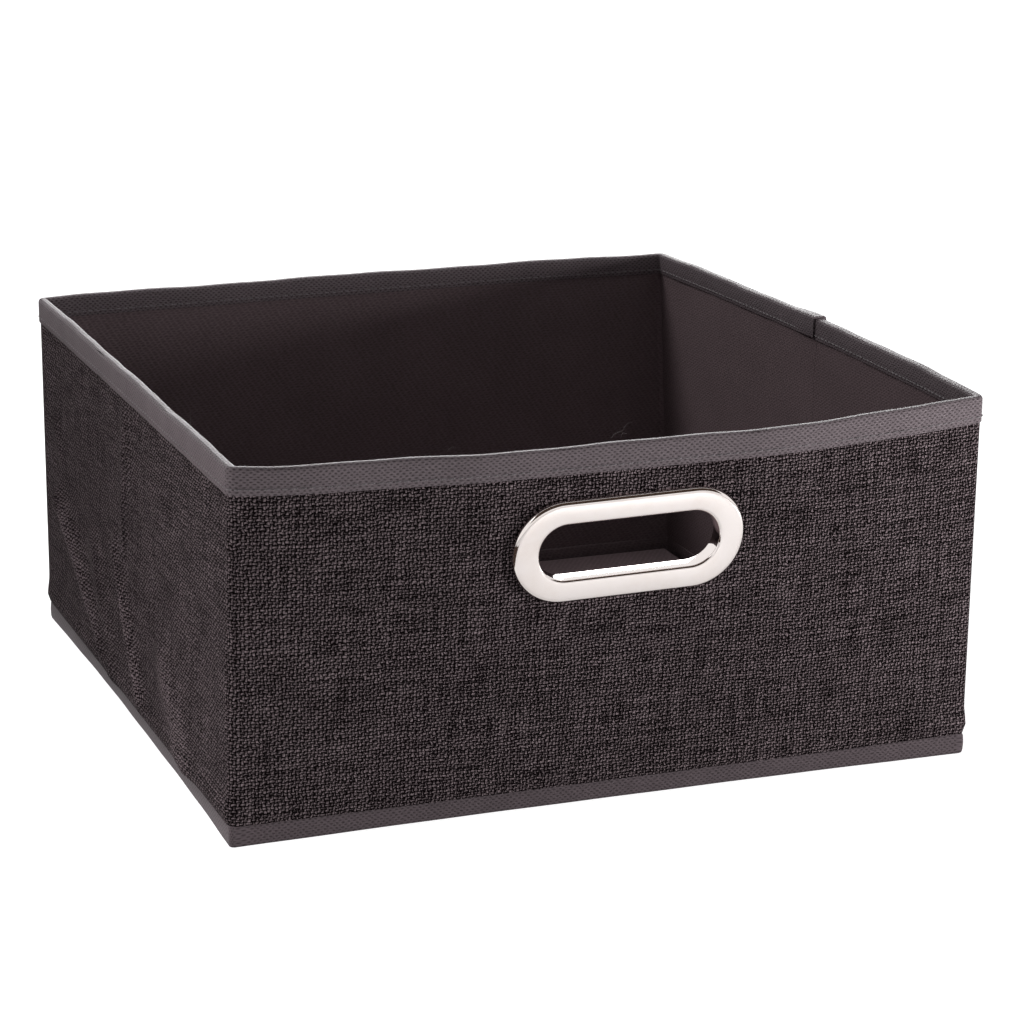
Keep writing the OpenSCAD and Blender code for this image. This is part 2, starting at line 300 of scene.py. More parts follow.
def makeEmbossGroup():
    # Staggered rows of small pressed dots, as on spunbonded tape and lining
    tree, given, out = newGroup(
        "pressedDots",
        {
            "Across": 0.0031,
            "Up": 0.0027,
            "Dot": 0.22,
            "Slant": 0.0,
        },
        ("Dots",),
    )
    drift = vectorMaths(tree, "SUBTRACT", noise(tree, given["Coordinates"], 260.0, 1.0)[1], (0.5, 0.5, 0.5))
    moved = vectorMaths(tree, "ADD", given["Coordinates"], scaled(tree, drift, 0.0011))
    split = addNode(tree, "ShaderNodeSeparateXYZ", {0: moved}).outputs
    slanted = maths(tree, "MULTIPLY_ADD", split[1], given["Slant"], split[0])
    x = maths(tree, "DIVIDE", slanted, given["Across"])
    y = maths(tree, "DIVIDE", split[1], given["Up"])
    dots = []
    for offset in (0.0, 0.5):
        sides = []
        for value, stretch in ((x, 0.8), (y, 1.25)):
            cellPart = maths(tree, "FRACT", maths(tree, "ADD", value, offset))
            sides.append(times(tree, minus(tree, cellPart, 0.5), stretch))
        squares = [maths(tree, "POWER", side, 2.0) for side in sides]
        far = maths(tree, "SQRT", maths(tree, "ADD", squares[0], squares[1]))
        dots.append(smoothRange(tree, maths(tree, "DIVIDE", far, given["Dot"]), 1.2, 0.4))
    tree.links.new(maths(tree, "MAXIMUM", dots[0], dots[1]), out["Dots"])
    return tree


def makeMottleGroup():
    # Slow light and dark clouds, and a scatter of pale lint specks
    tree, given, out = newGroup(
        "wearAndLint",
        {
            "Cloud Size": 0.03,
            "Contrast": 0.3,
            "Lint": 0.5,
        },
        ("Shade", "Specks"),
    )
    perCloud = maths(tree, "DIVIDE", 1.0, given["Cloud Size"])
    cloud = noise(tree, scaled(tree, given["Coordinates"], perCloud), 1.0, 3.0, 0.55)[0]
    contrast = times(tree, given["Contrast"], 2.0)
    shade = maths(tree, "MULTIPLY_ADD", minus(tree, cloud, 0.5), contrast, 1.0)
    tree.links.new(shade, out["Shade"])
    lint = noise(tree, given["Coordinates"], 950.0, 2.0, 0.6)[0]
    speck = smoothRange(tree, lint, 0.735, 0.79)
    tree.links.new(times(tree, speck, given["Lint"]), out["Specks"])
    return tree


def makeFoldHighlightGroup():
    # A painted highlight along the crest of a fold between two points of the cloth, soft at its sides and
    # ends
    tree, given, out = newGroup("paintedFoldHighlight", {"Width": 0.004}, ("Crest",), points=("Start", "End"))
    along = vectorMaths(tree, "SUBTRACT", given["End"], given["Start"])
    offset = vectorMaths(tree, "SUBTRACT", given["Coordinates"], given["Start"])
    reach = vectorMaths(tree, "DOT_PRODUCT", offset, along, "Value")
    whole = vectorMaths(tree, "DOT_PRODUCT", along, along, "Value")
    nearest = scaled(tree, along, maths(tree, "DIVIDE", reach, whole, clamp=True))
    aside = vectorMaths(tree, "SUBTRACT", offset, nearest)
    far = vectorMaths(tree, "LENGTH", aside, output="Value")
    tree.links.new(smoothRange(tree, far, given["Width"], 0.0), out["Crest"])
    return tree


groups = {}


def useGroup(tree, name, **inputs):
    named = {key.replace("_", " "): value for key, value in inputs.items()}
    return addNode(tree, "ShaderNodeGroup", named, node_tree=groups[name]).outputs


def newMaterial(name, **fixed):
    # A material with one Principled shader, whose even values are set on its own sockets
    material = bpy.data.materials.new(name)
    material.use_nodes = True
    tree = material.node_tree
    shader = tree.nodes["Principled BSDF"]
    for key, value in fixed.items():
        shader.inputs[key.replace("_", " ")].default_value = value
    return material, tree, shader


def clothMap(tree):
    return addNode(tree, "ShaderNodeUVMap", uv_map="clothMap").outputs[0]


def bump(tree, shader, height, strength, distance):
    node = addNode(tree, "ShaderNodeBump", {"Height": height, "Strength": strength, "Distance": distance})
    tree.links.new(node.outputs[0], shader.inputs["Normal"])


# What the cloths of pressed fibres have in common
nonwovens = {
    "sheet": {
        "roughness": 0.9,
        "dots": {"Across": 0.0026, "Up": 0.0023, "Dot": 0.30, "Slant": 0.5},
        "wear": {"Cloud_Size": 0.035, "Contrast": 0.16, "Lint": 0.25},
        "fibres": (500.0, 1500.0, 1.0),
        "shades": (0.85, 1.12),
        "fibreRelief": 0.35,
        "bump": (0.45, 0.18 * mm),
    },
    "tape": {
        "roughness": 0.5,
        "dots": {"Across": 0.0024, "Up": 0.0020, "Dot": 0.24},
        "wear": {"Cloud_Size": 0.012, "Contrast": 0.16, "Lint": 0.35},
        "fibres": (900.0, 1300.0, 1.0),
        "shades": (0.82, 1.15),
        "fibreRelief": 0.3,
        "bump": (0.5, 0.2 * mm),
    },
}
finishes = {
    "outerCloth": {
        "yarn": (0.222, 0.174, 0.185, 1),
        "share": 0.55,
        # painted shade: the near-black colour of the holes between the threads
        "gap": (0.0030, 0.0018, 0.0020, 1),
        # strength and width of the painted highlight on the fold crests
        "crestShine": 0.9,
        "crestWidth": 1.5,
        "lint": (0.30, 0.27, 0.27, 1),
    },
    "lining": {
        "kind": "sheet",
        "ground": (0.130, 0.097, 0.103, 1),
        "pressed": (0.100, 0.074, 0.079, 1),
        "lint": (0.2, 0.18, 0.18, 1),
        "gloss": 0.12,
    },
    "insertCloth": {
        "kind": "sheet",
        "ground": (0.26, 0.195, 0.205, 1),
        "pressed": (0.21, 0.155, 0.165, 1),
        "lint": (0.26, 0.22, 0.22, 1),
        "gloss": 0.12,
    },
    "bindingTape": {
        "kind": "tape",
        "ground": (0.126, 0.103, 0.111, 1),
        "pressed": (0.048, 0.038, 0.041, 1),
        "gloss": 0.14,
    },
    "edgeTape": {
        "kind": "tape",
        "ground": (0.088, 0.070, 0.076, 1),
        "pressed": (0.045, 0.035, 0.038, 1),
        "gloss": 0.1,
    },
    "sewingThread": {
        "fixed": {"Roughness": 0.55, "Sheen_Weight": 0.2},
        "grain": (2400.0, 1.0),
        "between": (0.3, 0.7),
        "tones": ((0.19, 0.165, 0.175, 1), (0.05, 0.042, 0.045, 1)),
        "bump": (0.4, 0.1 * mm),
    },
    "greyboard": {
        "fixed": {"Roughness": 0.9},
        "grain": (700.0, 4.0, 0.7),
        "between": (0.52, 0.68),
        "tones": ((0.30, 0.27, 0.23, 1), (0.16, 0.14, 0.12, 1)),
        "bump": (0.3, 0.2 * mm),
    },
    "lintFibre": {
        "fixed": {"Roughness": 0.7},
        "grain": (900.0, 1.0),
        "tones": ((0.30, 0.27, 0.27, 1), (0.16, 0.14, 0.14, 1)),
    },
    "polishedNickel": {"clear": (0.87, 0.805, 0.78, 1), "smeared": (0.83, 0.75, 0.71, 1)},
}


def makeOuterCloth():
    values = finishes["outerCloth"]
    material, tree, shader = newMaterial("outerCloth", Roughness=0.95, Specular_IOR_Level=0.04)
    place = clothMap(tree)
    weave = useGroup(tree, "linenWeave", Coordinates=place)
    wear = useGroup(tree, "wearAndLint", Coordinates=place, Cloud_Size=0.022, Contrast=0.22, Lint=0.28)
    # long slubs along the weft
    stretched = vectorMaths(tree, "MULTIPLY", place, (28.0, 620.0, 1.0))
    slub = smoothRange(tree, noise(tree, stretched, 1.0, 1.0)[0], 0.60, 0.74, 0.0, 0.55)
    yarn = times(tree, weave["Yarn"], wear["Shade"])
    # painted highlights: the crests of the left wall's folds are made lighter in the colour
    for fold in creases["leftDrapes"]:
        if "paintedHighlight" not in fold:
            continue
        # the cloth map starts at the left crease, so a fold across it gets its painted highlight on both of
        # its sides
        for turn in (0.0, lap["whole"]):
            start, end = [(turn - y * mm, z * mm, 0) for y, z in fold["paintedHighlight"]]
            width = values["crestWidth"] * fold["width"] * mm
            crest = useGroup(tree, "paintedFoldHighlight", Coordinates=place, Start=start, End=end, Width=width)
            shine = maths(tree, "MULTIPLY_ADD", crest["Crest"], values["crestShine"], 1.0)
            yarn = times(tree, yarn, shine)
    thick = maths(tree, "MULTIPLY_ADD", slub, values["share"], values["share"])
    yarn = times(tree, yarn, thick, clamp=True)
    colour = mixColours(tree, yarn, values["gap"], values["yarn"])
    colour = mixColours(tree, wear["Specks"], colour, values["lint"])
    tree.links.new(colour, shader.inputs["Base Color"])
    fuzz = noise(tree, place, 2600.0, 2.0)[0]
    height = maths(tree, "MULTIPLY_ADD", fuzz, 0.25, weave["Height"])
    bump(tree, shader, height, 1.0, 1.5 * mm)
    return material


def makeNonwoven(name):
    # Cloth of pressed fibres, with rows of dots pressed into it
    values = finishes[name]
    kind = nonwovens[values["kind"]]
    roughness = kind["roughness"]
    material, tree, shader = newMaterial(name, Roughness=roughness, Specular_IOR_Level=values["gloss"])
    place = clothMap(tree)
    dots = useGroup(tree, "pressedDots", Coordinates=place, **kind["dots"])["Dots"]
    wear = useGroup(tree, "wearAndLint", Coordinates=place, **kind["wear"])
    fibres = noise(tree, vectorMaths(tree, "MULTIPLY", place, kind["fibres"]), 1.0, 3.0)[0]
    colour = mixColours(tree, dots, values["ground"], values["pressed"])
    shade = times(tree, wear["Shade"], smoothRange(tree, fibres, 0.3, 0.7, *kind["shades"]))
    colour = shaded(tree, colour, shade)
    if "lint" in values:
        colour = mixColours(tree, wear["Specks"], colour, values["lint"])
    tree.links.new(colour, shader.inputs["Base Color"])
    height = maths(tree, "MULTIPLY_ADD", fibres, kind["fibreRelief"], times(tree, dots, -1.0))
    bump(tree, shader, height, *kind["bump"])
    return material


def makePlain(name):
    # Two tones mixed by one noise, which gives the relief as well where there is any
    values = finishes[name]
    material, tree, shader = newMaterial(name, **values["fixed"])
    place = addNode(tree, "ShaderNodeTexCoord").outputs["Object"]
    grain = noise(tree, place, *values["grain"])[0]
    share = smoothRange(tree, grain, *values["between"]) if "between" in values else grain
    tree.links.new(mixColours(tree, share, *values["tones"]), shader.inputs["Base Color"])
    if "bump" in values:
        bump(tree, shader, grain, *values["bump"])
    return material


def makeNickel():
    values = finishes["polishedNickel"]
    material, tree, shader = newMaterial("polishedNickel", Metallic=1.0)
    place = addNode(tree, "ShaderNodeTexCoord").outputs["Object"]
    smear = noise(tree, place, 60.0, 4.0, 0.6)[0]
    tree.links.new(smoothRange(tree, smear, 0.35, 0.75, 0.045, 0.12), shader.inputs["Roughness"])
    warm = mixColours(tree, smoothRange(tree, smear, 0.4, 0.8), values["clear"], values["smeared"])
    tree.links.new(warm, shader.inputs["Base Color"])
    ripple = noise(tree, place, 18.0, 1.0)[0]
    bump(tree, shader, ripple, 0.12, 0.5 * mm)
    return material


def addPlane(name, corners, material):
    mesh = bpy.data.meshes.new(name)
    mesh.from_pydata(corners, [], [(0, 1, 2, 3)])
    mesh.materials.append(material)
    ob = bpy.data.objects.new(name, mesh)
    bpy.context.scene.collection.objects.link(ob)
    return ob


def setCards():
    material, tree = newMaterial("darkCard")[:2]
    glow = addNode(tree, "ShaderNodeEmission", {"Color": cards["colour"], "Strength": 1.0})
    tree.links.new(glow.outputs[0], tree.nodes["Material Output"].inputs["Surface"])
    for name in ("leftCard", "upperCard"):
        card = addPlane(name, cards[name], material)
        card.visible_camera = False
        card.visible_diffuse = False
        card.visible_shadow = False
        card.visible_transmission = False


def rayKinds(tree):
    # Whether a ray comes from the camera, and whether it was mirrored or let through
    path = addNode(tree, "ShaderNodeLightPath").outputs
    return path["Is Camera Ray"], maths(tree, "MAXIMUM", path["Is Glossy Ray"], path["Is Transmission Ray"])


def setSurround():
    world = bpy.data.worlds.new("surround")
    bpy.context.scene.world = world
    world.use_nodes = True
    tree = world.node_tree
    light = tree.nodes["Background"]
    light.inputs["Strength"].default_value = surround["lightStrength"]
    light.inputs["Color"].default_value = surround["white"]
    seen = addNode(tree, "ShaderNodeBackground", {"Color": surround["white"], "Strength": 1.0})
    direct = maths(tree, "MAXIMUM", *rayKinds(tree))
    mixed = addNode(tree, "ShaderNodeMixShader", {0: direct, 1: light.outputs[0], 2: seen.outputs[0]})
    tree.links.new(mixed.outputs[0], tree.nodes["World Output"].inputs["Surface"])


def setFloor():
    material, tree, shader = newMaterial(
        "paleFloor", Base_Color=surround["floorColour"], Roughness=0.9, Specular_IOR_Level=0.1,
    )
    fromCamera, mirrored = rayKinds(tree)
    gleam = times(tree, mirrored, surround["floorGleam"])
    lift = maths(tree, "MULTIPLY_ADD", fromCamera, surround["floorLift"], gleam)
    glow = addNode(tree, "ShaderNodeEmission", {"Color": surround["white"], "Strength": lift})
    both = addNode(tree, "ShaderNodeAddShader", {0: shader.outputs[0], 1: glow.outputs[0]})
    tree.links.new(both.outputs[0], tree.nodes["Material Output"].inputs["Surface"])
    reach = surround["reach"]
    corners = [(-reach, -reach, 0), (reach, -reach, 0), (reach, reach, 0), (-reach, reach, 0)]
    floor = addPlane("floor", corners, material)


setCamera()
setLamps()
setSurround()
setFloor()
setCards()
print("camera and lights made")


# Four straights and four rounded corners, from the left crease by the front and back again.
# `u` is the distance along the outer face.

wallEnds = {
    # the corner at each wall's low end, the one at its high end, and half its length
    "front": ("frontLeft", "frontRight", box["halfWidth"]),
    "right": ("frontRight", "backRight", box["halfDepth"]),
    "back": ("backLeft", "backRight", box["halfWidth"]),
    "left": ("frontLeft", "backLeft", box["halfDepth"]),
}
cornerPlaces = {
    "frontLeft": (-1, -1, 180), "frontRight": (1, -1, 270), "backRight": (1, 1, 0), "backLeft": (-1, 1, 90),
}


def straightLength(name):
    low, high, half = wallEnds[name]
    return 2 * half - box["corners"][low] - box["corners"][high]


legs = []
wayRound = ("left", "frontLeft", "front", "frontRight", "right", "backRight", "back", "backLeft", "left")
for legName in wayRound:
    if legName in cornerPlaces:
        legLength = math.pi / 2 * box["corners"][legName]
    elif legName == "left":
        legLength = box["halfDepth"] - box["corners"]["backLeft" if legs else "frontLeft"]
    else:
        legLength = straightLength(legName)
    start = legs[-1]["end"] if legs else 0.0
    legs.append({"name": legName, "start": start, "end": start + legLength})
legOf = {leg["name"]: leg for leg in legs}
lap = {"whole": legs[-1]["end"]}
for leg in legs:
    lap[leg["name"]] = (leg["start"] + leg["end"]) / 2
lap["frontMiddle"] = legOf["front"]["start"] + box["halfWidth"] - box["corners"]["frontLeft"]
lap["rightCrease"] = legOf["right"]["start"] + box["halfDepth"] - box["corners"]["frontRight"]


def alongWall(leg, index, u):
    # The coordinate along a straight wall, x on the front and back and y on the sides
    name = leg["name"]
    if name == "front":
        return u - lap["frontMiddle"]
    if name == "right":
        return u - lap["rightCrease"]
    if name == "back":
        return box["halfWidth"] - box["corners"]["backRight"] - (u - leg["start"])
    return -(u - leg["start"]) if index == 0 else lap["whole"] - u


shape = {
    "bowCurve": 1.6,
    "rightBow": 5.0 * mm,
    "leftBow": -0.5 * mm,
    "cornerLeans": {
        "frontLeft": (2.0 * mm, -5.8 * mm),
        "frontRight": (2.5 * mm, -0.5 * mm),
        "backRight": (-6.2 * mm, 0.4 * mm),
        "backLeft": (1.2 * mm, 2.4 * mm),
    },
    "leanFrom": 84 * mm,
    "leanTo": 143 * mm,
    # swellings of the cloth near the foot: how far up, reach and height
    "footSwells": [(3.5 * mm, 4.2 * mm, 1.0 * mm), (-1 * mm, 1.6 * mm, -0.5 * mm)],
    "leftRipple": 0.35 * mm,
    "sideWave": 0.4 * mm,
    "backLiningWave": 0.7 * mm,
    "sideLiningWave": 0.5 * mm,
    # the lining's slack strip beside the back right corner: its edge as (x, z) in millimetres
    "slackEdge": [(149, 148), (139, 115), (135, 80), (134, 0)],
    "slackDepth": 1.5 * mm,
    "cornerStep": 0.55 * mm,
}


def ramp(value, low, high):
    t = min(1.0, max(0.0, (value - low) / (high - low)))
    return t * t * (3 - 2 * t)


def hump(value, centre, reach):
    return math.exp(-(((value - centre) / reach) ** 2))


def arc(centreX, centreY, radius, start, end, count):
    steps = [math.radians(start + (end - start) * i / count) for i in range(count + 1)]
    return [(centreX + radius * math.cos(a), centreY + radius * math.sin(a)) for a in steps]


def bowShare(s):
    # The same bow as the boards have: flat across the grommet, then a curve down to the corners
    reach = box["halfWidth"] - box["wall"] - box["tape"]
    run = min(1.0, max(0.0, (abs(s) - grommet["flatHalf"]) / (reach - grommet["flatHalf"])))
    return 1 - run ** shape["bowCurve"]


def wallBow(name, s, z):
    up = z / box["height"]
    if name == "front":
        return box["frontBow"] * bowShare(s) * up
    if name == "back":
        return box["backBow"] * bowShare(s) * up
    side = 1 - (s / box["halfDepth"]) ** 2
    return (shape["rightBow"] if name == "right" else shape["leftBow"]) * side * up


def lean(x, y, z):
    # How far the corners have been pulled out of square, growing toward the rim
    up = z / box["height"]
    dx = dy = 0.0
    for name in cornerPlaces:
        signX, signY = cornerPlaces[name][:2]
        share = ramp(signX * x, shape["leanFrom"], shape["leanTo"])
        share *= min(1.0, max(0.0, 0.5 + 0.5 * signY * y / box["halfDepth"]))
        dx += shape["cornerLeans"][name][0] * share * up
        dy += shape["cornerLeans"][name][1] * share * up
    return dx, dy


def legAt(u):
    u = u % lap["whole"]
    index = next((i for i, leg in enumerate(legs) if u <= leg["end"]), len(legs) - 1)
    return u, index, legs[index]


def wallPoint(u, z, depth, relief=0.0, tight=None):
    # A point `depth` inside the outer face, pushed out by `relief`. `tight` is a sharper corner's radius.
    u, index, leg = legAt(u)
    name = leg["name"]

    def radiusAt(corner):
        return max((tight or box["corners"][corner]) - depth, box["innerRadius"])

    if name in cornerPlaces:
        signX, signY, angle = cornerPlaces[name]
        radius = radiusAt(name)
        share = (u - leg["start"]) / (leg["end"] - leg["start"])
        a = math.radians(angle + 90 * share)
        x = signX * (box["halfWidth"] - depth - radius) + math.cos(a) * (radius + relief)
        y = signY * (box["halfDepth"] - depth - radius) + math.sin(a) * (radius + relief)
    else:
        s = alongWall(leg, index, u)
        bow = wallBow(name, s, z) + relief
        lowCorner, highCorner, half = wallEnds[name]
        s = max(s, -(half - depth - radiusAt(lowCorner)))
        s = min(s, half - depth - radiusAt(highCorner))
        out = half - depth + bow
        x, y = {"front": (s, -out), "back": (s, out), "right": (out, s), "left": (-out, s)}[name]
    dx, dy = lean(x, y, z)
    return Vector((x + dx, y + dy, z))


def whereOn(u):
    u, index, leg = legAt(u)
    name = leg["name"]
    return name, 0.0 if name in cornerPlaces else alongWall(leg, index, u)


def stations(start, end, step):
    # Places along the way from start to end, closer together round the corners
    places = [start]
    for turnCount in (-1, 0, 1):
        for leg in legs:
            low = max(start, leg["start"] + turnCount * lap["whole"])
            high = min(end, leg["end"] + turnCount * lap["whole"])
            if high - low < 1e-7:
                continue
            pace = shape["cornerStep"] if leg["name"] in cornerPlaces else step
            count = max(1, math.ceil((high - low) / pace))
            places += [low + (high - low) * i / count for i in range(1, count + 1)]
    tidy = [places[0]]
    for value in sorted(places[1:]):
        if value - tidy[-1] > 1e-6:
            tidy.append(value)
    return tidy


creases = {
    "leftDrapes": [
        # in millimetres: from (y, z) to (y, z), height and half width of each fold in the left
        # wall's cloth, and between which points its crest gets a painted highlight
        {"from": (122, 64), "to": (45, 21), "height": 3.4, "width": 6, "paintedHighlight": [(112, 58), (50, 24)]},
        {"from": (20, 70), "to": (-18, 19), "height": 3.0, "width": 5.5, "paintedHighlight": [(5, 50), (-18, 19)]},
        {"from": (2, 130), "to": (8, 70), "height": 1.2, "width": 5},
        {"from": (-55, 45), "to": (-90, 12), "height": 1.8, "width": 11, "paintedHighlight": [(-62, 38), (-86, 16)]},
        {"from": (60, 60), "to": (30, 16), "height": 1.6, "width": 9},
        {"from": (128, 96), "to": (122, 88), "height": 0.9, "width": 5},
    ],
    # in millimetres: middle, height and reach of each wave in the front wall's cloth
    "frontWaves": [(-108, 0.5, 22), (-62, 0.35, 14), (64, 0.35, 15), (104, 0.6, 20), (136, 0.5, 10)],
}


groups["linenWeave"] = makeWeaveGroup()
groups["pressedDots"] = makeEmbossGroup()
groups["wearAndLint"] = makeMottleGroup()
groups["paintedFoldHighlight"] = makeFoldHighlightGroup()
clothFinish = makeOuterCloth()
liningFinish = makeNonwoven("lining")
insertFinish = makeNonwoven("insertCloth")
tapeFinish = makeNonwoven("bindingTape")
edgeTapeFinish = makeNonwoven("edgeTape")
threadFinish = makePlain("sewingThread")
boardFinish = makePlain("greyboard")
nickelFinish = makeNickel()
lintFinish = makePlain("lintFibre")
print("finishes made")


def foldAt(y, z, fold):
    # Height of a soft fold that fades out beyond both of its ends
    a = Vector(fold["from"]) * mm
    b = Vector(fold["to"]) * mm
    p = Vector((y, z))
    along = (p - a).dot(b - a) / (b - a).length_squared
    near = a + (b - a) * min(1.0, max(0.0, along))
    width = fold["width"] * mm
    return fold["height"] * mm * math.exp(-(((p - near).length / width) ** 2))


def clothRelief(u, z):
    name, s = whereOn(u)
    foot = box["wallFoot"]
    relief = sum(height * hump(z, foot + up, reach) for up, reach, height in shape["footSwells"])
    body = ramp(z, foot, foot + 20 * mm) * ramp(box["height"] - 12 * mm - z, 0, 14 * mm)
    if name == "left":
        for fold in creases["leftDrapes"]:
            relief += foldAt(s, z, fold)
        relief += shape["leftRipple"] * body * math.sin(s * 95) * math.sin(z * 60 + 1)
    if name == "front":
        for centre, height, width in creases["frontWaves"]:
            relief += height * mm * body * hump(s, centre * mm, width * mm)
    if name in ("right", "back"):
        relief += shape["sideWave"] * body * (0.5 + 0.5 * math.sin(s * 70 + z * 40))
    return relief


def liningRelief(u, z):
    # Positive is outward, so the lining's waves into the box are negative
    name, s = whereOn(u)
    relief = 0.0
    foot = box["wallFoot"]
    body = ramp(z, foot, foot + 12 * mm) * ramp(box["height"] - 10 * mm - z, 0, 10 * mm)
    if name == "back":
        relief -= shape["backLiningWave"] * body * (0.5 + 0.5 * math.sin(s * 62 + 0.9))
        points = sorted(shape["slackEdge"], key=lambda p: p[1])
        slack = float(np.interp(z / mm, [p[1] for p in points], [p[0] for p in points])) * mm
        relief += shape["slackDepth"] * body * ramp(s, slack - 0.8 * mm, slack + 1.2 * mm)
    if name in ("left", "right"):
        relief -= shape["sideLiningWave"] * body * (0.5 + 0.5 * math.sin(s * 55 + 2.4))
    return relief


def finishMesh(name, bm, materials, sharp=40):
    bmesh.ops.recalc_face_normals(bm, faces=bm.faces)
    mesh = bpy.data.meshes.new(name)
    bm.to_mesh(mesh)
    bm.free()
    for material in materials:
        mesh.materials.append(material)
    mesh.polygons.foreach_set("use_smooth", [True] * len(mesh.polygons))
    mesh.set_sharp_from_angle(angle=math.radians(sharp))
    ob = bpy.data.objects.new(name, mesh)
    bpy.context.scene.collection.objects.link(ob)
    return ob


def newCloth():
    bm = bmesh.new()
    return bm, bm.loops.layers.uv.new("clothMap")


def addFace(bm, uvLayer, corners, uvs, index=0):
    if len(set(corners)) < 3:
        return
    try:
        face = bm.faces.new(corners)
    except ValueError:
        return
    face.material_index = index
    for loop, uv in zip(face.loops, uvs):
        loop[uvLayer].uv = uv


def addGrid(bm, uvLayer, count, pointAt, layer):
    # One layer of count by count cells, with its corners at pointAt(layer, column, row)
    rows = [[bm.verts.new(pointAt(layer, k, i)) for k in range(count + 1)] for i in range(count + 1)]
    for low, high in zip(rows, rows[1:]):
        for k in range(count):
            ring = [low[k], low[k + 1], high[k + 1], high[k]]
            addFace(bm, uvLayer, ring, [(v.co.x, v.co.y) for v in ring])
    return rows


def outlineOf(s, z):
    # Distance from the grommet's centre line, with the nearest point on that line
    nearest = min(grommet["straight"], max(-grommet["straight"], s))
    rise = (z - grommet["z"]) / math.cos(grommet["lean"])
    return math.hypot(s - nearest, rise), nearest, rise


wallCell = 3.6 * mm


def cornersOf(cells):
    return {(i + a, j + b) for i, j in cells for a in (0, 1) for b in (0, 1)}


def wallSheet(name, span, depths, heights, finish, relief=None, step=wallCell, rise=wallCell, hole=None):
    # A sheet of cloth, lining or board between two depths, closed round its edges
    us = stations(*span, step)
    foot, head = heights
    rows = max(2, math.ceil((head - foot) / rise))
    zs = [foot + (head - foot) * i / rows for i in range(rows + 1)]
    grid = {(i, j): (u, z) for i, u in enumerate(us) for j, z in enumerate(zs)}
    cells = [(i, j) for i in range(len(us) - 1) for j in range(rows)]
    if hole:
        frontMiddle = lap["frontMiddle"]

        def isCut(cell):
            u, z = [sum(values) / 4 for values in zip(*[grid[key] for key in cornersOf([cell])])]
            return outlineOf(u - frontMiddle, z)[0] < hole

        cut = {cell for cell in cells if isCut(cell)}
        cells = [cell for cell in cells if cell not in cut]
        for key in cornersOf(cut) & cornersOf(cells):
            u, z = grid[key]
            far, nearest, up = outlineOf(u - frontMiddle, z)
            newS = nearest + (u - frontMiddle - nearest) * hole / far
            grid[key] = (frontMiddle + newS, grommet["z"] + up * hole / far * math.cos(grommet["lean"]))
    bm, uvLayer = newCloth()
    made = {}

    def vertex(key, side):
        if (key, side) not in made:
            u, z = grid[key]
            push = relief(u, z) if relief else 0.0
            made[(key, side)] = bm.verts.new(wallPoint(u, z, depths[side], push))
        return made[(key, side)]

    edgeUse = {}
    for i, j in cells:
        ring = [(i, j), (i + 1, j), (i + 1, j + 1), (i, j + 1)]
        for side in (0, 1):
            addFace(bm, uvLayer, [vertex(k, side) for k in ring], [grid[k] for k in ring])
        for a, b in zip(ring, ring[1:] + ring[:1]):
            edgeUse.setdefault(frozenset((a, b)), []).append((a, b))
    for uses in edgeUse.values():
        if len(uses) == 1:
            a, b = uses[0]
            thick = depths[1] - depths[0]
            uvs = [grid[a], grid[b], (grid[b][0], grid[b][1] + thick), (grid[a][0], grid[a][1] + thick)]
            addFace(bm, uvLayer, [vertex(a, 0), vertex(b, 0), vertex(b, 1), vertex(a, 1)], uvs)
    bmesh.ops.remove_doubles(bm, verts=bm.verts, dist=1e-6)
    return finishMesh(name, bm, [finish])


def sweepAlong(bm, uvLayer, us, section, wave, swell=None, tight=None, liningFrom=math.inf):
    # Carries a closed section of (depth, z) points along the way round the box.
    # `swell` gives the section itself at a place where it changes along the way, and `liningFrom`
    # the point from which on the strip shows the lining.
    lengths = [0.0]
    for a, b in zip(section, section[1:] + section[:1]):
        lengths.append(lengths[-1] + math.dist(a, b))
    foot, head = section[0][1], max(z for d, z in section)
    shares = [ramp(z, foot, head) for d, z in section]
    rings = []
    for u in us:
        rise, push = wave(u)
        points = zip(swell(u) if swell else section, shares)
        ring = [wallPoint(u, z + rise * share, d, push, tight) for (d, z), share in points]
        rings.append([bm.verts.new(point) for point in ring])
    count = len(section)
    for i in range(len(us) - 1):
        for k in range(count):
            n = (k + 1) % count
            low, high = lengths[k], lengths[k + 1]
            corners = [rings[i][k], rings[i + 1][k], rings[i + 1][n], rings[i][n]]
            uvs = [(us[i], low), (us[i + 1], low), (us[i + 1], high), (us[i], high)]
            addFace(bm, uvLayer, corners, uvs, 1 if k >= liningFrom else 0)
    for ring, u in ((rings[0], us[0]), (rings[-1], us[-1])):
        addFace(bm, uvLayer, ring, [(u + d, z) for d, z in section])


tape = {
    "outerDrop": 11 * mm,
    "innerDrop": 9.6 * mm,
    "round": 1.5 * mm,
    "shoulder": 5 * mm,
    "gap": 0.12 * mm,
    "tuck": 0.02 * mm,
    "stitchPitch": 3.3 * mm,
    "stitchLength": 2.5 * mm,
    "stitchRadius": 0.3 * mm,
    "stitchSlant": 0.25 * mm,
    "stitchAbove": 2.4 * mm,
}


def tapeSection(extra=0.0):
    # The folded tape: down the outer face, over the rounded rim and down the inner face
    out = -(box["tape"] + tape["gap"] + extra)
    inner = box["wall"] + box["tape"] + tape["gap"] + extra
    tucked = box["wall"] + tape["tuck"]
    top = box["height"] + extra
    shoulder = top - tape["shoulder"]
    foot = top - tape["outerDrop"]
    innerFoot = top - tape["innerDrop"]
    under = box["wallHead"] - 0.1 * mm
    r = tape["round"]
    points = [(-tape["tuck"], foot), (out * 0.75, foot - 0.1 * mm), (out, foot + 0.5 * mm)]
    points += [(out, foot + tape["stitchAbove"]), (out, shoulder)]
    points += arc(out + r, top - r, r, 180, 90, 6) + arc(inner - r, top - r, r, 90, 0, 6)
    points += [(inner, shoulder), (inner, innerFoot + 0.5 * mm), (inner - 0.15 * mm, innerFoot)]
    return points + [(tucked, innerFoot), (tucked, under), (-tape["tuck"], under)]


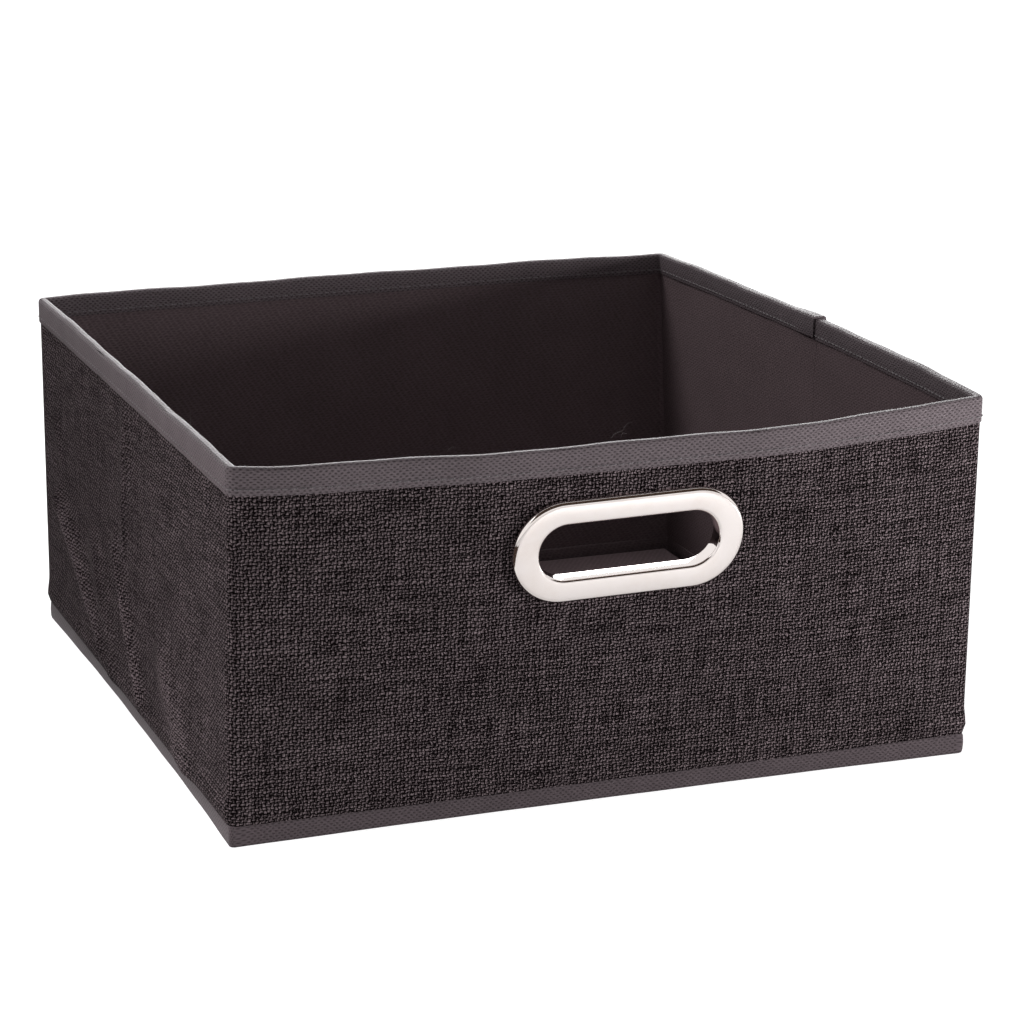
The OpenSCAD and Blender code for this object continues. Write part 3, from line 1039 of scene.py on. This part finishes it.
def rimWave(u):
    # Slight unevenness of the sewn rim: up and down, in and out
    rise = 0.22 * mm * math.sin(u * 61 + 1.0) + 0.12 * mm * math.sin(u * 173)
    return rise - 0.2 * mm, 0.10 * mm * math.sin(u * 97 + 2) + 0.05 * mm * math.sin(u * 310)


def addStitches(bm, uvLayer, span, depth, z, facing):
    # A row of short lock stitches, each a small loop of thread that dips in at both ends
    start, end = span
    count = int((end - start - 0.4 * mm) / tape["stitchPitch"])
    rings, sides = 5, 6
    threadIndex = 1
    angles = [2 * math.pi * m / sides for m in range(sides)]
    for n in range(count):
        middle = start + (n + 0.5) * (end - start) / count
        made = []
        for k in range(rings):
            t = k / (rings - 1)
            u = middle + (t - 0.5) * tape["stitchLength"]
            swell = math.sin(math.pi * (0.08 + 0.84 * t))
            radius = tape["stitchRadius"] * (0.55 + 0.45 * swell)
            off = depth - facing * tape["stitchRadius"] * (1.1 * swell - 0.5)
            height = z + tape["stitchSlant"] * (t - 0.5)
            ring = [wallPoint(u, height + radius * math.sin(a), off + radius * math.cos(a)) for a in angles]
            made.append([bm.verts.new(point) for point in ring])
        for low, high in zip(made, made[1:]):
            for m in range(sides):
                o = (m + 1) % sides
                addFace(bm, uvLayer, [low[m], high[m], high[o], low[o]], [(middle, z)] * 4, threadIndex)
        for cap in (made[0], made[-1]):
            addFace(bm, uvLayer, cap, [(middle, z)] * sides, threadIndex)


def rimTape(name, span):
    bm, uvLayer = newCloth()
    sweepAlong(bm, uvLayer, stations(*span, 2.4 * mm), tapeSection(), rimWave)
    outer = -(box["tape"] + tape["gap"])
    inner = box["wall"] + box["tape"] + tape["gap"]
    outerZ = box["height"] - tape["outerDrop"] + tape["stitchAbove"]
    innerZ = box["height"] - tape["innerDrop"] + tape["stitchAbove"] * 0.8
    addStitches(bm, uvLayer, span, outer, outerZ, 1)
    addStitches(bm, uvLayer, span, inner, innerZ, -1)
    return finishMesh(name, bm, [tapeFinish, threadFinish])


# Each span is one body's share of the way round. The spans that name a corner in `blend` are left where they
# stand, on no body.
edge = 6 * mm
whole = lap["whole"]
spans = {
    "leftFront": {"u": (0.0, lap["frontLeft"] - edge), "body": "left_front", "flat": -1},
    "front": {"u": (lap["frontLeft"] - edge, lap["frontRight"] + edge / 2), "blend": "frontLeft"},
    "rightFront": {"u": (lap["frontRight"] + edge / 2, lap["rightCrease"]), "body": "right_front", "flat": 1},
    "rightRear": {"u": (lap["rightCrease"], lap["backRight"] - edge), "body": "right_rear", "flat": 1},
    "backRight": {"u": (lap["backRight"] - edge, lap["backRight"] + edge), "blend": "backRight"},
    "back": {"u": (lap["backRight"] + edge, lap["backLeft"] + edge), "blend": "backLeft"},
    "leftRear": {"u": (lap["backLeft"] + edge, whole), "body": "left_rear", "flat": -1},
}


def bendOrRide(ob, spanName):
    # Puts a piece of wall on its body, or, for a span that names a corner, leaves it where it stands on no
    # body
    span = spans[spanName]
    if "blend" in span:
        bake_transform(ob)
        return
    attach(ob, span["body"])
    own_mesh(ob)


nodeNames = {
    "leftFront": ["left_front"], "front": ["front"], "rightFront": ["right_front"],
    "rightRear": ["right_rear"], "back": ["back"], "leftRear": ["left_rear"],
}


walls = {
    "drapedCell": 1.8 * mm,
    "glue": 0.05 * mm,
    "boardEnd": 0.4 * mm,
    "backBoardStart": 19 * mm,
}


def boardSpan(spanName):
    # The boards stop a little short of the corners and creases
    u0, u1 = spans[spanName]["u"]
    leg = legOf[spanName] if spanName in ("front", "back") else {"start": u0, "end": u1}
    start = max(u0, leg["start"]) + walls["boardEnd"]
    if spanName == "back":
        start = leg["start"] + walls["backBoardStart"]
    if spanName == "rightFront":
        start = max(start, legOf["right"]["start"] + walls["boardEnd"])
    return start, min(u1, leg["end"]) - walls["boardEnd"]


def makeWalls():
    foot, head = box["wallFoot"], box["wallHead"]
    layers = {
        "Cloth": {
            "depths": (0.0, box["cloth"]), "heights": (foot - 0.6 * mm, head - 0.2 * mm),
            "node": "cover", "finish": clothFinish, "slot": "outer_cloth", "relief": clothRelief,
        },
        "Board": {
            "depths": (box["cloth"] + walls["glue"], box["wall"] - box["lining"] - walls["glue"]),
            "heights": (foot + 2 * mm, head - 0.4 * mm),
            "node": "board", "finish": boardFinish, "slot": "greyboard", "relief": None,
        },
        "Lining": {
            "depths": (box["wall"], box["wall"] - box["lining"]),
            "heights": (foot - 0.7 * mm, head - 0.2 * mm),
            "node": "lining", "finish": liningFinish, "slot": "lining", "relief": liningRelief,
        },
    }
    for layerName, layer in layers.items():
        for spanName, span in spans.items():
            isBoard = layerName == "Board"
            if isBoard and spanName == "backRight":
                continue
            # the folds in the left wall's cloth are narrow, and take a finer grid
            isDraped = spanName.startswith("left") and layerName == "Cloth"
            cell = walls["drapedCell"] if isDraped else wallCell
            ob = wallSheet(
                spanName + layerName, boardSpan(spanName) if isBoard else span["u"],
                layer["depths"], layer["heights"], layer["finish"], relief=layer["relief"],
                step=cell, rise=cell, hole=grommet["clothHole"] if spanName == "front" else None,
            )
            for body in nodeNames.get(spanName, []):
                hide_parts(body + "_" + layer["node"])
            if isBoard and spanName in ("front", "back"):
                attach(ob, "front" if spanName == "front" else "root")
            else:
                bendOrRide(ob, spanName)
    for spanName, span in spans.items():
        ob = rimTape(spanName + "RimTape", span["u"])
        for body in nodeNames.get(spanName, []):
            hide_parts(body + "_rim_tape")
        bendOrRide(ob, spanName)


makeWalls()
print("walls made")


creaseStrip = {"reach": 5 * mm, "step": 0.8 * mm}
creaseSides = {
    "leftRear": (-creaseStrip["reach"], 0.0),
    "leftFront": (0.0, creaseStrip["reach"]),
    "rightFront": (lap["rightCrease"] - creaseStrip["reach"], lap["rightCrease"]),
    "rightRear": (lap["rightCrease"], lap["rightCrease"] + creaseStrip["reach"]),
}


def addTape(name, spanName, us, section, swell=None):
    # A further piece of tape over the rim, which moves with its wall
    bm, uvLayer = newCloth()
    sweepAlong(bm, uvLayer, us, section, rimWave, swell=swell)
    ob = finishMesh(name, bm, [tapeFinish])
    bendOrRide(ob, spanName)


def makeCreaseStrips():
    # The lining and the tape run on to each crease from both sides, and part there in the fold
    depths = (box["wall"] + 0.06 * mm, box["wall"] - 0.3 * mm)
    heights = (box["wallFoot"], box["wallHead"] - 9 * mm)
    for spanName, span in creaseSides.items():
        strip = wallSheet(
            spanName + "CreaseLining", span, depths, heights, liningFinish,
            relief=liningRelief, step=creaseStrip["step"],
        )
        bendOrRide(strip, spanName)
        us = stations(*span, creaseStrip["step"])
        addTape(spanName + "CreaseTape", spanName, us, tapeSection(0.05 * mm))


tapeLap = {"before": 4 * mm, "length": 26 * mm, "step": 1.3 * mm, "least": 0.06 * mm, "swell": 0.93 * mm}


def makeTapeLap():
    # One end of the tape lies over the other at the right crease, its raised edge toward the front
    middle = lap["rightCrease"]
    start = middle - tapeLap["before"]
    end = start + tapeLap["length"]

    def thicker(u):
        return tapeSection(tapeLap["least"] + tapeLap["swell"] * ramp(end - u, 0, end - start))

    for spanName, span in (("rightFront", (start, middle)), ("rightRear", (middle, end))):
        us = stations(*span, tapeLap["step"])
        addTape(spanName + "TapeLap", spanName, us, tapeSection(), swell=thicker)


base = {
    "outer": box["halfWidth"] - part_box("base_binding_back")[1].x,
    "height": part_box("base_binding_back")[1].z,
    "thick": 2.4 * mm,
    "floor": 0.8 * mm,
    "tightCorner": 1.7 * mm,
    "liningFrom": 7,  # the point of bandSection where the inner face begins
    "clothCells": 24,
}


def bandSection():
    # The bound edge: tape folded over the upturned cloth, a little fuller at mid height
    a, b, h = base["outer"], base["outer"] + base["thick"], base["height"]
    points = [(a + 0.5 * mm, 0.0), (a + 0.1 * mm, 0.35 * mm), (a - 0.1 * mm, 1.4 * mm)]
    points += [(a - 0.25 * mm, h * 0.5), (a - 0.05 * mm, h - 1.6 * mm)]
    points += [(a + 0.3 * mm, h - 0.6 * mm), (a + 0.9 * mm, h)]
    points += [(b - 0.8 * mm, h), (b - 0.15 * mm, h - 0.5 * mm), (b, h - 1.3 * mm), (b, base["floor"])]
    return points + [(b - 0.4 * mm, 0.0)]


def bandWave(u):
    name, s = whereOn(u)
    share = 1.0 if name in cornerPlaces else (s / box["halfWidth"]) ** 2
    flare = -0.4 * mm + 1.7 * mm * share
    return 0.0, flare + 0.12 * mm * math.sin(u * 43 + 0.6) + 0.08 * mm * math.sin(u * 131 + 2)


def makeBase():
    parts = {
        "baseBindingSides": {
            "span": (-(whole - lap["backLeft"]), lap["backRight"]),
            "nodes": ["base_binding_front", "base_binding_left", "base_binding_right"],
        },
        "baseBindingBack": {"span": (lap["backRight"], lap["backLeft"]), "nodes": ["base_binding_back"]},
    }
    for name, part in parts.items():
        bm, uvLayer = newCloth()
        sweepAlong(
            bm, uvLayer, stations(*part["span"], 3 * mm), bandSection(), bandWave,
            tight=base["tightCorner"], liningFrom=base["liningFrom"],
        )
        ob = finishMesh(name, bm, [edgeTapeFinish, liningFinish])
        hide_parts(*part["nodes"])
        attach(ob, "root")
        if name == "baseBindingSides":
            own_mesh(ob)
    bm, uvLayer = newCloth()
    half = box["halfWidth"] - base["outer"] - 1.2 * mm
    count = base["clothCells"]

    def clothPoint(z, column, row):
        return -half + 2 * half * column / count, -half + 2 * half * row / count, z

    def borders(rows):
        return rows[0], rows[-1], [row[0] for row in rows], [row[-1] for row in rows]

    under, over = [addGrid(bm, uvLayer, count, clothPoint, z) for z in (0.0, base["floor"] - 0.02 * mm)]
    for low, high in zip(borders(under), borders(over)):
        for i in range(count):
            ring = [low[i], low[i + 1], high[i + 1], high[i]]
            addFace(bm, uvLayer, ring, [(v.co.x + v.co.z, v.co.y) for v in ring])
    ob = finishMesh("baseCloth", bm, [clothFinish])
    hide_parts("base_cloth")
    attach(ob, "root")
    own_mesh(ob)


makeTapeLap()
makeBase()
makeCreaseStrips()
print("tape's joint, base and creases made")


insert = {
    "round": 1.5 * mm,
    "seamIn": 6 * mm,
    "seamWidth": 1.2 * mm,
    "seamDip": 0.35 * mm,
    "waveFrom": 12 * mm,
    "wave": 0.12 * mm,
    "cells": 72,
}


def makeInsert():
    # A board in a cloth sleeve: rounded edges, and a sewn line just inside them
    low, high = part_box("insert_cover")
    middle, thick = (low.z + high.z) / 2, (high.z - low.z) / 2
    count = insert["cells"]

    def coverPoint(side, column, row):
        x = -high.x * math.cos(math.pi * column / count)
        y = -high.y * math.cos(math.pi * row / count)
        inward = min(high.x - abs(x), high.y - abs(y))
        edgeDrop = 1 - min(1.0, inward / insert["round"])
        z = thick * math.sqrt(max(0.0, 1 - edgeDrop ** 2))
        z -= insert["seamDip"] * hump(inward, insert["seamIn"], insert["seamWidth"])
        if inward > insert["waveFrom"]:
            z += insert["wave"] * math.sin(x * 70) * math.sin(y * 55 + 1)
        return x, y, middle + side * min(z, thick)

    bm, uvLayer = newCloth()
    for side in (1, -1):
        addGrid(bm, uvLayer, count, coverPoint, side)
    bmesh.ops.remove_doubles(bm, verts=bm.verts, dist=2e-6)
    ob = finishMesh("insertCover", bm, [insertFinish], sharp=70)
    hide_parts("insert_cover")
    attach(ob, "insert")
    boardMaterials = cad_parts["insert_board"].data.materials
    boardMaterials.clear()
    boardMaterials.append(boardFinish)


makeInsert()


def ringStations(count):
    # Places round the oval: (side, direction) with two straights and two half turns
    places = []
    for side, start in ((1, -90), (-1, 90)):
        for i in range(count + 1):
            places.append((side, math.radians(start + 180 * i / count)))
    return places


def straightAt(radius):
    # The hand hole is a little shorter than the flange round it
    share = (radius - grommet["hole"]) / (grommet["halfHeight"] - grommet["hole"])
    share = min(1.0, max(0.0, share))
    return grommet["holeStraight"] + (grommet["straight"] - grommet["holeStraight"]) * share


def frontRingSection(wallThick):
    outer, hole = grommet["halfHeight"], grommet["hole"]
    ro, ri, t, top = grommet["outerRadius"], grommet["innerRadius"], grommet["metal"], grommet["proud"]
    deep = -(wallThick + grommet["backRing"])
    points = [(outer, 0.0)] + arc(outer - ro, top - ro, ro, 0, 90, 8)
    left, right = hole + ri, outer - ro
    for i in range(1, 8):
        share = i / 8
        points.append((right + (left - right) * share, top + grommet["crown"] * math.sin(math.pi * share)))
    points += arc(hole + ri, top - ri, ri, 90, 180, 8)
    points += [(hole, deep + 0.3 * mm)] + arc(hole + t / 2, deep + 0.3 * mm, t / 2, 180, 360, 6)
    points += arc(hole + ri, top - ri, ri - t, 180, 90, 5) + arc(outer - ro, top - ro, ro - t, 90, 0, 5)
    return points + [(outer - t, 0.0)]


def backRingSection(wallThick):
    inner = grommet["hole"] + grommet["metal"]
    outer = inner + grommet["backFlange"]
    deep, r = -(wallThick + grommet["backRing"]), grommet["backRing"] / 2
    rim = arc(outer - r, deep + r, r, 270, 360, 6)
    return [(inner, -wallThick), (inner, deep)] + rim + [(outer, -wallThick)]


def ovalRing(name, section, node, straight):
    bm = bmesh.new()
    wallY = -(box["halfDepth"] + box["frontBow"] * grommet["z"] / box["height"])
    toWall = Matrix.Translation((0, wallY, grommet["z"]))
    toWall = toWall @ Matrix.Rotation(math.pi / 2 + grommet["lean"], 4, "X")
    toWall = toWall @ Matrix.Rotation(math.radians(grommet["turn"]), 4, "Z")
    rings = []
    for side, a in ringStations(grommet["turnSteps"]):
        ring = []
        for r, h in section:
            x = side * straight(r) + r * math.cos(a)
            ring.append(bm.verts.new(toWall @ Vector((x, r * math.sin(a), h))))
        rings.append(ring)
    for i, ring in enumerate(rings):
        after = rings[(i + 1) % len(rings)]
        for k in range(len(section)):
            n = (k + 1) % len(section)
            bm.faces.new([ring[k], after[k], after[n], ring[n]])
    bmesh.ops.remove_doubles(bm, verts=bm.verts, dist=1e-6)
    ob = finishMesh(name, bm, [nickelFinish], sharp=35)
    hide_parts(node)
    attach(ob, "front")


wallThickness = box["wall"] * math.cos(grommet["lean"])
frontSection = frontRingSection(wallThickness)
backSection = backRingSection(wallThickness)
ovalRing("handleFrontRing", frontSection, "handle_front_ring", straightAt)
ovalRing("handleBackRing", backSection, "handle_back_ring", lambda radius: grommet["holeStraight"])
print("insert and grommet made")


lintShape = {"radius": 0.045 * mm, "taper": 0.6, "steps": 6, "sides": 4}
lintStrands = [
    # points in millimetres
    {
        "body": "front",
        "points": [
            (-6, -166.5, 149.5), (-4, -165.5, 151.0), (-1, -165, 151.6), (1, -164, 153.6), (4, -163, 154.2),
        ],
    },
    {"body": "front", "points": [(-2, -166.5, 149.5), (-1, -165.5, 150.8), (1, -165, 150.4)]},
    {"body": "front", "points": [(-70, -163, 149.5), (-68, -162, 150.5), (-66, -161.5, 150.1)]},
    {"body": "left_front", "points": [(-151.4, -98, 149.5), (-150.6, -97, 152.5), (-150.4, -96, 156)]},
    {"body": "front", "points": [(154.0, -154, 149.6), (156.0, -155, 146.5), (156.8, -156, 143.5)]},
]


def smoothLine(points, steps):
    # A curve through all of the points
    line = []
    for i in range(len(points) - 1):
        before, start, end = points[max(0, i - 1)], points[i], points[i + 1]
        after = points[min(len(points) - 1, i + 2)]
        square = 2 * before - 5 * start + 4 * end - after
        cube = 3 * start - before - 3 * end + after
        for k in range(steps):
            t = k / steps
            line.append(0.5 * (2 * start + (end - before) * t + square * t ** 2 + cube * t ** 3))
    return line + [points[-1]]


def makeLintStrands():
    sides = lintShape["sides"]
    angles = [2 * math.pi * k / sides for k in range(sides)]
    for number, strand in enumerate(lintStrands):
        line = smoothLine([Vector(p) * mm for p in strand["points"]], lintShape["steps"])
        bm = bmesh.new()
        rings = []
        for i, p in enumerate(line):
            ahead = (line[min(i + 1, len(line) - 1)] - line[max(i - 1, 0)]).normalized()
            sideways = ahead.orthogonal().normalized()
            across = ahead.cross(sideways)
            radius = lintShape["radius"] * (1 - lintShape["taper"] * i / len(line))
            points = [p + radius * (math.cos(a) * sideways + math.sin(a) * across) for a in angles]
            rings.append([bm.verts.new(point) for point in points])
        for a, b in zip(rings, rings[1:]):
            for k in range(sides):
                n = (k + 1) % sides
                bm.faces.new([a[k], b[k], b[n], a[n]])
        bm.faces.new(rings[0])
        bm.faces.new(rings[-1])
        ob = finishMesh("lint" + str(number + 1), bm, [lintFinish])
        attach(ob, strand["body"])


makeLintStrands()
bpy.context.scene.view_settings.view_transform = "Standard"
print("lint made")
